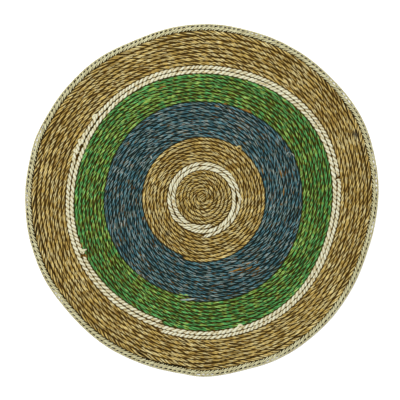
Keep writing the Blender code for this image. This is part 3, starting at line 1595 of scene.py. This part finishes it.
@dataclass(frozen=True)
class StitchPoint:
    """A point of a stitch: its distance in from the rim, its height and its share of the pitch.

    fan is how far the second stitch of a pair has parted from the first there, in pitches, and
    wide the factor on the yarn's width.
    """

    across: float
    up: float
    along: float
    fan: float
    wide: float


STITCH_PATH = (
    StitchPoint(1.00 * MM, 1.20 * MM, -0.04, 0.18, 0.90),
    StitchPoint(1.20 * MM, 2.30 * MM, -0.04, 0.18, 0.90),
    StitchPoint(2.20 * MM, 3.10 * MM, -0.03, 0.18, 0.92),
    StitchPoint(3.70 * MM, 3.40 * MM, 0.02, 0.22, 0.95),
    StitchPoint(4.50 * MM, 3.55 * MM, 0.27, 0.40, 1.12),
    StitchPoint(5.50 * MM, 3.60 * MM, 0.62, 0.50, 1.18),
    StitchPoint(6.50 * MM, 3.30 * MM, 0.92, 0.50, 1.16),
    StitchPoint(6.90 * MM, 2.10 * MM, 0.98, 0.50, 1.10),
    StitchPoint(6.10 * MM, 0.95 * MM, 0.86, 0.50, 1.20),
    StitchPoint(4.70 * MM, 0.60 * MM, 0.36, 0.44, 1.20),
    StitchPoint(3.60 * MM, 0.60 * MM, 0.02, 0.22, 0.95),
    StitchPoint(1.40 * MM, 0.75 * MM, -0.04, 0.18, 0.90),
)


@dataclass
class EdgeBinding:
    """The pale binding: a thin twisted cord along the rim, and slanting stitches behind it.

    Between two pairs of stitches, just inside the rim cord, stays a small open hole. repeats is
    the number of holes. The rim cord is rim_cord thick, its plies run rim_offset of that from
    its middle, which lies rim_inset of it inside the rim at rim_z, and it wanders by rim_wander
    in rim_waves waves. A stitch varies in length by the factors reaches, in place by jitter and
    yarn_jitter of the pitch, and in width by the factors widths. The second of a pair is
    second_reach as long and second_lift higher.
    """

    repeats: int = 234
    rim_cord: float = 1.9 * MM
    rim_offset: float = 0.16
    rim_inset: float = 0.52
    rim_z: float = 2.2 * MM
    rim_wander: float = 0.10 * MM
    rim_waves: float = 23.0
    rim_points_per_repeat: int = 6
    rim_section: Section = Section(0.64 * MM, 0.80 * MM, 6)
    yarn_section: Section = Section(0.64 * MM, 0.56 * MM, 6)
    reaches: tuple[float, float] = (0.94, 1.04)
    jitter: float = 0.09
    yarn_jitter: float = 0.04
    widths: tuple[float, float] = (0.92, 1.08)
    second_reach: float = 0.90
    second_lift: float = 0.16 * MM
    points_per_stitch: int = 17
    seed: int = 71

    def build(self) -> list[bpy.types.Object]:
        rim = self.make_rim()
        stitches = self.make_stitches()
        finish = BINDING.material()
        for piece in (rim, stitches):
            dress(piece, finish)
        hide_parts("edge_binding")
        return [rim, stitches]

    def make_rim(self) -> bpy.types.Object:
        """Two thin plies twisted round each other along the outer rim."""
        count = self.repeats * self.rim_points_per_repeat
        angle = TAU * np.arange(count) / count
        wander = self.rim_wander * np.sin(angle * self.rim_waves)
        offset = self.rim_offset * self.rim_cord
        pieces = []
        for ply in range(2):
            phase = angle * self.repeats + math.pi * ply
            radius = COIL.rim(angle) - self.rim_cord * self.rim_inset + wander + offset * np.sin(phase)
            height = self.rim_z + offset * np.cos(phase)
            strand = Strand(COIL.place(radius, angle, height), np.ones(count), np.zeros(count))
            pieces.append(sweep(f"rim_ply_{ply}", [strand], self.rim_section, closed=True))
        return join(pieces, "binding_rim_cord")

    def make_stitches(self) -> bpy.types.Object:
        """Slanting stitches over the top and back underneath, two to each hole."""
        rng = np.random.default_rng(self.seed)
        pitch = TAU / self.repeats
        strands = []
        for number in range(self.repeats):
            reach = rng.uniform(*self.reaches)
            jitter = rng.uniform(-self.jitter, self.jitter)
            for half in range(2):
                strands.append(self.stitch((number + jitter) * pitch, half, reach, rng))
        piece = join([sweep("binding_stitches", strands, self.yarn_section)], "binding_stitches")
        lift_off_floor(piece)
        return piece

    def stitch(self, start: float, half: int, reach: float, rng: np.random.Generator) -> Strand:
        """One loop of yarn from the rim over to the inner side and back beneath.

        Args:
            start: bearing of the knot on the rim.
            half: 0 for the pair's first stitch, 1 for its second.
            reach: factor on how far in the stitch goes.
            rng: the seeded source of its unevenness.

        Returns:
            The loop's strand.
        """
        if half == 1:
            reach *= self.second_reach
        across = np.array([point.across for point in STITCH_PATH]) * reach
        up = np.array([point.up for point in STITCH_PATH]) + self.second_lift * (half - 0.5)
        along = np.array([point.along + half * point.fan for point in STITCH_PATH])
        wide = np.array([point.wide for point in STITCH_PATH]) * rng.uniform(*self.widths)
        late = rng.uniform(-self.yarn_jitter, self.yarn_jitter)
        angle = start + TAU / self.repeats * (along + late)
        rows = COIL.place(COIL.rim(angle) - across, angle, up)
        return unrolled(smooth_path(np.concatenate([rows, wide[:, None]], axis=1), self.points_per_stitch))


@dataclass
class Studio:
    """Plain pale floor, soft overhead light and the camera straight above the mat.

    aim_x and aim_y are the spot under the camera, and mat_top the height that is seen at the
    photograph's scale. floor_glow keeps the floor white in the mat's own shade, as in the
    photograph.
    """

    lens: float = 120.0
    sensor: float = 36.0
    aim_x: float = -2.05 * MM
    aim_y: float = 0.1 * MM
    mat_top: float = 4.0 * MM
    floor_size: float = 8.0
    floor_tone: float = 0.93
    floor_roughness: float = 0.9
    floor_shine: float = 0.2
    floor_glow: float = 0.35
    lamp_at: tuple[float, float, float] = (-0.45, 0.55, 1.9)
    lamp_tilt_deg: tuple[float, float] = (-16.0, -13.0)
    lamp_size: float = 1.1
    lamp_watts: float = 34.0
    world_light: float = 0.45

    def build(self) -> None:
        """Set up floor, lights, world, camera and the view transform."""
        self.make_floor()
        self.make_lights()
        self.make_camera()
        settings = bpy.context.scene.view_settings
        settings.view_transform = "Standard"
        settings.look = "None"
        settings.exposure = 0.0

    def make_floor(self) -> None:
        """A wide pale floor under the mat."""
        bpy.ops.mesh.primitive_plane_add(size=self.floor_size, location=(0.0, 0.0, FLOOR_Z))
        floor = bpy.context.object
        floor.name = "floor"
        made, _, shader = new_finish("pale_floor")
        tone = self.floor_tone
        shader.inputs["Base Color"].default_value = (tone, tone, tone, 1.0)
        shader.inputs["Roughness"].default_value = self.floor_roughness
        shader.inputs["Specular IOR Level"].default_value = self.floor_shine
        shader.inputs["Emission Color"].default_value = (1.0, 1.0, 1.0, 1.0)
        shader.inputs["Emission Strength"].default_value = self.floor_glow
        floor.data.materials.append(made)

    def make_lights(self) -> None:
        """One broad overhead light, a little to the upper left, and an even pale world."""
        bpy.ops.object.light_add(type="AREA", location=self.lamp_at)
        lamp = bpy.context.object
        lamp.name = "overhead"
        lamp.data.shape = "DISK"
        lamp.data.size = self.lamp_size
        lamp.data.energy = self.lamp_watts
        lamp.rotation_euler = (*(math.radians(tilt) for tilt in self.lamp_tilt_deg), 0.0)
        world = bpy.data.worlds.new("studio")
        bpy.context.scene.world = world
        world.use_nodes = True
        background = world.node_tree.nodes["Background"]
        background.inputs["Color"].default_value = (1.0, 1.0, 1.0, 1.0)
        background.inputs["Strength"].default_value = self.world_light

    def make_camera(self) -> None:
        """A long lens straight above, framing 400 pixels at the photograph's scale."""
        across = PHOTO_PIXELS * METRES_PER_PIXEL
        distance = across * self.lens / self.sensor
        bpy.ops.object.camera_add(location=(self.aim_x, self.aim_y, self.mat_top + distance))
        camera = bpy.context.object
        camera.name = "camera"
        camera.data.lens = self.lens
        camera.data.sensor_width = self.sensor
        camera.rotation_euler = (0.0, 0.0, 0.0)
        bpy.context.scene.camera = camera


# How the cord of the outer cream ring, the inner one, the blue ring and the coil is twisted.
PLUMP_CORD = {
    "plies": 2,
    "wind": 0.46,
    "half_width": 1.42 * MM,
    "half_thickness": 1.02 * MM,
    "corners": 8,
    "swell": 0.09,
    "lay_wander": 0.30,
    "ply_wander": 0.30,
}

LOOSE_CORD = {
    "plies": 3,
    "wind": 0.56,
    "half_width": 1.12 * MM,
    "half_thickness": 0.86 * MM,
    "corners": 6,
    "swell": 0.18,
    "lay_wander": 0.40,
    "ply_wander": 0.55,
    "sway": 0.35 * MM,
    "swing": 1.7 * MM,
}

FINE_CORD = {"wind": 0.63, "half_width": 0.72 * MM, "half_thickness": 0.68 * MM}
TIGHT_CORD = {"wind": 0.66, "half_width": 0.72 * MM, "half_thickness": 0.66 * MM}

# Where the turns of the inner and of the outer cream ring leave their even run.
CREAM_CROSSING = (
    Slip(0, 357.4, push=-0.8 * MM),
    Slip(1, 357.4, push=1.4 * MM),
    Slip(1, 40.0, push=0.6 * MM, reach=5.0 * MM),
    Slip(1, 95.0, push=0.6 * MM, reach=5.0 * MM),
    Slip(1, 215.0, push=0.5 * MM, reach=4.0 * MM),
)

CREAM_SLIPS = (
    Slip(1, 142.8, push=0.8 * MM, reach=3.5 * MM),
    Slip(0, 148.3, push=-0.3 * MM, reach=4.0 * MM),
    Slip(1, 148.3, push=0.8 * MM, reach=4.0 * MM),
    Slip(1, 152.6, push=1.3 * MM, reach=3.0 * MM),
    Slip(1, 157.3, push=1.7 * MM, reach=4.5 * MM),
    Slip(1, 162.0, push=1.5 * MM, reach=4.5 * MM),
    Slip(0, 157.3, push=-0.4 * MM, reach=4.5 * MM),
    Slip(0, 162.0, push=-0.4 * MM, reach=4.5 * MM),
    Slip(0, 205.8, thin=0.75, reach=2.6 * MM),
    Slip(1, 8.2, thin=0.75, reach=2.2 * MM),
    Slip(1, 5.5, push=0.8 * MM, reach=6.0 * MM),
)


def wound_rings() -> list[WoundRing]:
    """The seven rings of cord, from the heart outward."""
    centre, cream_in, natural_in, blue, green, cream_out, natural_out = RINGS
    slant, back = Twist.OUTWARD, Twist.INWARD
    brown, cream = ("natural_cord", NATURAL, slant), ("cream_cord", CREAM, back)
    dyed_blue, dyed_green = ("blue_cord", BLUE, slant), ("green_cord", GREEN, slant)
    return [
        WoundRing(centre, *brown, lay=12.0 * MM, step=1.1 * MM, seed=11, overrun=3.0 * MM, **TIGHT_CORD),
        WoundRing(
            cream_in, *cream, lay=14.5 * MM, step=0.8 * MM, seed=12, slips=CREAM_CROSSING, **LOOSE_CORD,
        ),
        WoundRing(natural_in, *brown, lay=20.0 * MM, step=1.5 * MM, seed=13),
        WoundRing(blue, *dyed_blue, lay=27.0 * MM, step=1.7 * MM, seed=14, **FINE_CORD),
        WoundRing(green, *dyed_green, lay=27.0 * MM, step=1.7 * MM, seed=15),
        WoundRing(cream_out, *cream, lay=10.0 * MM, step=0.8 * MM, seed=16, slips=CREAM_SLIPS, **PLUMP_CORD),
        WoundRing(natural_out, *brown, lay=27.0 * MM, step=1.8 * MM, seed=17, last_turn_extra=1.8 * MM),
    ]


def laid(
    name: str,
    half_width: float,
    top: float,
    buried: float,
    *course: tuple[float, float],
) -> LooseStrand:
    """A loose strand in millimetres.

    Args:
        name: what it is.
        half_width: half its width.
        top: height of its upper side in the middle.
        buried: how much lower its ends lie.
        course: the bearing in degrees and the distance from the heart of each point it passes.

    Returns:
        The strand in metres.
    """
    points = tuple((bearing, away * MM) for bearing, away in course)
    return LooseStrand(name, points, half_width * MM, top * MM, buried * MM)


# The loose strands of each finish, at their places in the photograph.
CREAM_SPLICES = (
    laid("corner_loop", 1.3, 4.7, 1.2, (141.8, 144.6), (142.8, 146.6), (143.9, 146.8), (144.6, 144.6)),
    laid("upper_loop", 1.45, 4.7, 1.2, (154.2, 145.0), (155.2, 147.0), (156.1, 145.0), (155.6, 140.4)),
    laid("lower_loop", 1.35, 4.7, 1.2, (158.8, 145.5), (159.7, 147.8), (160.4, 145.5), (159.9, 140.8)),
    laid("splice_bar", 1.0, 4.3, 1.2, (7.3, 144.8), (7.4, 147.5), (7.3, 150.5)),
    laid("hooked_end", 1.8, 4.9, 0.5, (202.0, 145.0), (203.6, 143.0), (204.1, 140.8), (204.2, 137.2)),
    laid("hooked_fray", 1.1, 4.3, 1.2, (204.4, 139.5), (205.0, 141.8), (205.6, 143.2)),
    laid("inward_loop", 1.7, 5.0, 1.2, (284.8, 146.2), (285.8, 144.0), (286.7, 143.8), (287.4, 146.5)),
)

NATURAL_SPLICES = (
    laid("small_loop", 1.3, 4.7, 0.3, (55.6, 64.0), (55.0, 66.8), (52.9, 68.0), (50.6, 65.5)),
)

HEART_FOLDS = (
    laid("heart_fold", 0.72, 4.4, 0.5, (215.0, 4.4), (215.0, 1.5), (35.0, 1.5), (35.0, 4.4)),
    laid("upper_fold", 0.66, 4.3, 0.5, (182.7, 4.0), (125.0, 1.9), (67.3, 4.0)),
    laid("lower_fold", 0.66, 4.3, 0.5, (247.3, 4.0), (305.0, 2.0), (2.7, 4.0)),
    laid("left_curl", 0.60, 4.4, 0.6, (236.0, 5.8), (205.0, 5.0), (172.0, 5.2), (140.0, 6.0)),
    laid("right_curl", 0.60, 4.4, 0.6, (52.0, 6.2), (22.0, 5.2), (350.0, 5.0), (318.0, 5.8)),
)

GOLDEN_KNOT = (
    laid("flat_knot", 2.4, 4.9, 1.2, (25.0, 171.5), (23.9, 174.5), (22.4, 178.0)),
)

BLUE_FRAYS = (
    laid("grey_tail", 1.1, 4.7, 0.4, (257.8, 113.6), (260.8, 112.1), (263.5, 110.9), (266.5, 109.5)),
    laid("frayed_arch", 0.6, 4.3, 1.2, (25.6, 99.5), (27.0, 102.0), (27.6, 105.0), (26.6, 107.2)),
    laid("frayed_tail", 0.55, 4.3, 1.2, (26.8, 106.6), (25.0, 108.0), (23.2, 108.2)),
    laid("pale_end", 0.8, 4.3, 1.2, (140.6, 72.6), (142.0, 70.4), (143.6, 66.8)),
)

GREEN_FRAYS = (
    laid("bright_tip", 0.8, 4.3, 1.2, (11.2, 107.4), (12.2, 109.3), (13.3, 111.6)),
    laid("green_tail", 1.0, 4.3, 1.2, (254.6, 108.1), (258.6, 107.2), (261.5, 106.7), (264.4, 106.2)),
)

BRIGHT_LEAVES = (
    laid("outer_leaf", 1.7, 4.6, 0.8, (118.6, 129.0), (115.2, 128.5), (111.8, 128.0)),
    laid("inner_leaf", 1.8, 4.6, 0.8, (123.8, 119.4), (119.5, 119.7), (116.8, 120.4)),
    laid("leaf_tip", 1.7, 4.7, 0.4, (107.6, 113.0), (106.2, 113.4), (104.8, 113.8)),
)

UNDYED_STRETCHES = (
    laid("rust_in_blue", 1.2, 4.3, 1.2, (82.8, 99.5), (80.7, 99.2), (78.6, 98.5)),
    laid("short_rust_edge", 1.1, 4.3, 1.2, (78.4, 103.4), (76.5, 103.8), (74.8, 103.6)),
    laid("long_rust_edge", 1.3, 4.3, 1.2, (68.4, 104.2), (65.0, 104.6), (61.5, 105.2), (58.2, 105.6)),
    laid("rust_in_green", 1.1, 4.3, 1.2, (112.9, 126.0), (109.9, 126.2), (107.0, 125.2)),
    laid("rust_by_hook", 1.2, 4.4, 1.2, (200.6, 141.2), (202.0, 140.4), (203.0, 140.0)),
    laid("long_brown", 1.0, 4.6, 0.6, (289.2, 86.1), (292.0, 86.3), (295.5, 86.8), (299.9, 87.6)),
    laid("second_brown", 0.85, 4.6, 0.6, (300.3, 91.0), (303.0, 91.5), (305.8, 91.6)),
    laid("third_brown", 0.85, 4.6, 0.6, (303.2, 86.9), (304.9, 86.9), (306.6, 86.9)),
    laid("fourth_brown", 0.8, 4.6, 0.6, (306.0, 97.1), (307.6, 97.1), (309.2, 97.0)),
    laid("right_brown", 0.85, 4.6, 0.6, (19.4, 88.6), (16.5, 88.2), (13.6, 87.8)),
    laid("level_brown", 0.8, 4.6, 0.6, (6.5, 88.2), (3.7, 87.7), (0.9, 87.2)),
    laid("inner_brown", 0.8, 4.6, 0.6, (26.2, 71.0), (23.4, 70.6), (20.6, 70.1)),
    laid("rust_below_hook", 1.2, 4.4, 1.2, (205.4, 141.2), (206.8, 140.8), (208.0, 140.8)),
)


def loose_strands() -> list[LooseStrands]:
    """Splices, loops and frayed ends that stand out of the even winding."""
    return [
        LooseStrands("cream_splices", "cream_cord", CREAM, CREAM_SPLICES),
        LooseStrands("natural_splices", "natural_cord", NATURAL, NATURAL_SPLICES),
        LooseStrands("heart_folds", "natural_cord", NATURAL, HEART_FOLDS),
        LooseStrands("golden_knot", "natural_cord", GOLDEN, GOLDEN_KNOT),
        LooseStrands("blue_frays", "blue_cord", PALE_BLUE, BLUE_FRAYS),
        LooseStrands("green_frays", "green_cord", PALE_GREEN, GREEN_FRAYS),
        LooseStrands("bright_leaves", "green_cord", LEAF, BRIGHT_LEAVES),
        LooseStrands("undyed_stretches", "green_cord", RUST, UNDYED_STRETCHES),
    ]


def loose_fibres() -> list[Fuzz]:
    """Thin loose fibres on each ring of rough cord."""
    return [
        Fuzz("centre_fibres", "natural_cord", PALE_STRAW, 6.0 * MM, 26.0 * MM, 40, 31),
        Fuzz("inner_natural_fibres", "natural_cord", PALE_STRAW, 42.0 * MM, 62.0 * MM, 120, 32),
        Fuzz("blue_fibres", "blue_cord", PALE_BLUE, 70.0 * MM, 105.0 * MM, 300, 33),
        Fuzz("green_fibres", "green_cord", PALE_GREEN, 112.0 * MM, 137.0 * MM, 200, 34),
        Fuzz("outer_natural_fibres", "natural_cord", PALE_STRAW, 153.0 * MM, 178.0 * MM, 380, 35),
    ]


def main() -> None:
    """Build the mat around its frame, piece by piece."""
    logging.basicConfig(level=logging.INFO, format="%(message)s")
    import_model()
    deselect_all()
    Studio().build()
    ground = Ground().build()
    cords = [ring.build() for ring in wound_rings()]
    binding = EdgeBinding().build()
    loose = [strands.build() for strands in loose_strands()]
    fibres = [fuzz.build() for fuzz in loose_fibres()]


if __name__ == "__main__":
    main()
